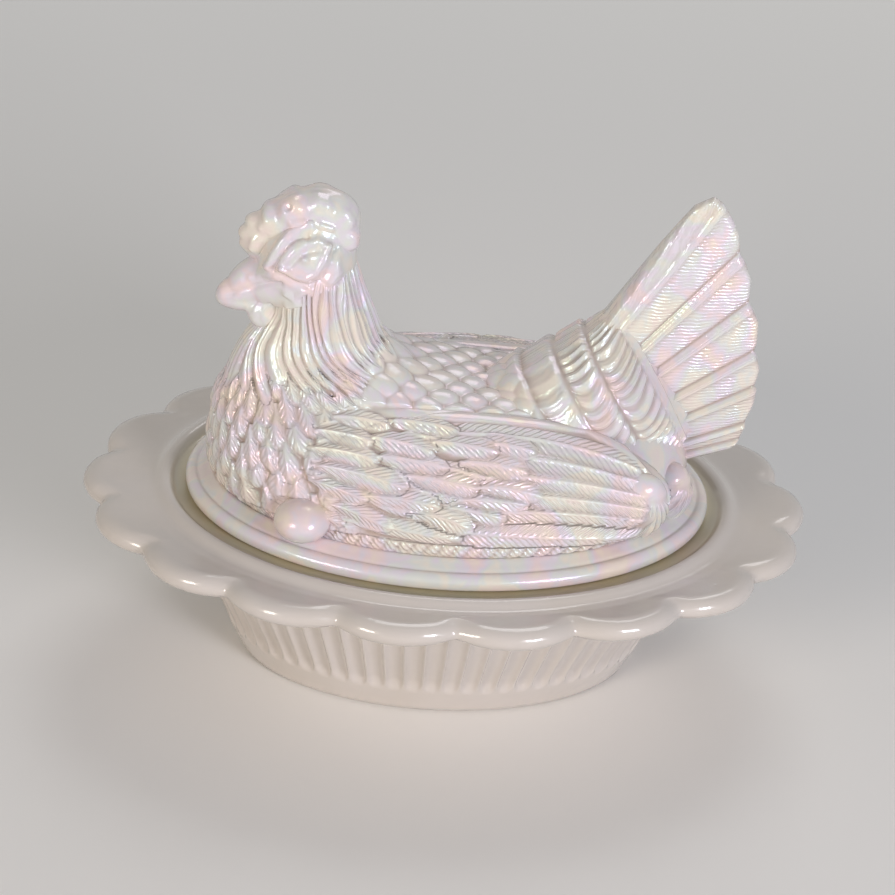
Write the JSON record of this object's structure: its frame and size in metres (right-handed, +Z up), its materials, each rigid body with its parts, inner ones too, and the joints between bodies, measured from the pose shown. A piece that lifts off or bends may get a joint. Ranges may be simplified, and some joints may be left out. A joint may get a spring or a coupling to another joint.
{
  "type": "hen on nest dish",
  "caption": "Covered oval dish: a fluted bowl with a scalloped flange under a lift-off lid in the shape of a sitting hen with an upright fan tail.",
  "frame": {"origin": "centre of the dish's foot on the table", "axes": "+X towards the hen's tail along the dish's length, +Z up, -Y the side with the egg"},
  "size_m": [0.215, 0.1564, 0.1539],
  "materials": {
    "dish_glass": "opaque pearl-white pressed glass, fire polished, with a faint iridescent coat",
    "hen_glass": "opaque pearl-white pressed glass with a pink, lavender and mint iridescent coat"
  },
  "bodies": {
    "dish": {"nest_dish": "dish_glass"},
    "lid": {"hen_lid": "hen_glass"}
  },
  "joints": [
    {"name": "lid_lift", "type": "slide", "parent": "dish", "child": "lid", "axis": [0, 0, 1], "range_m": [0, 0.08]}
  ]
}
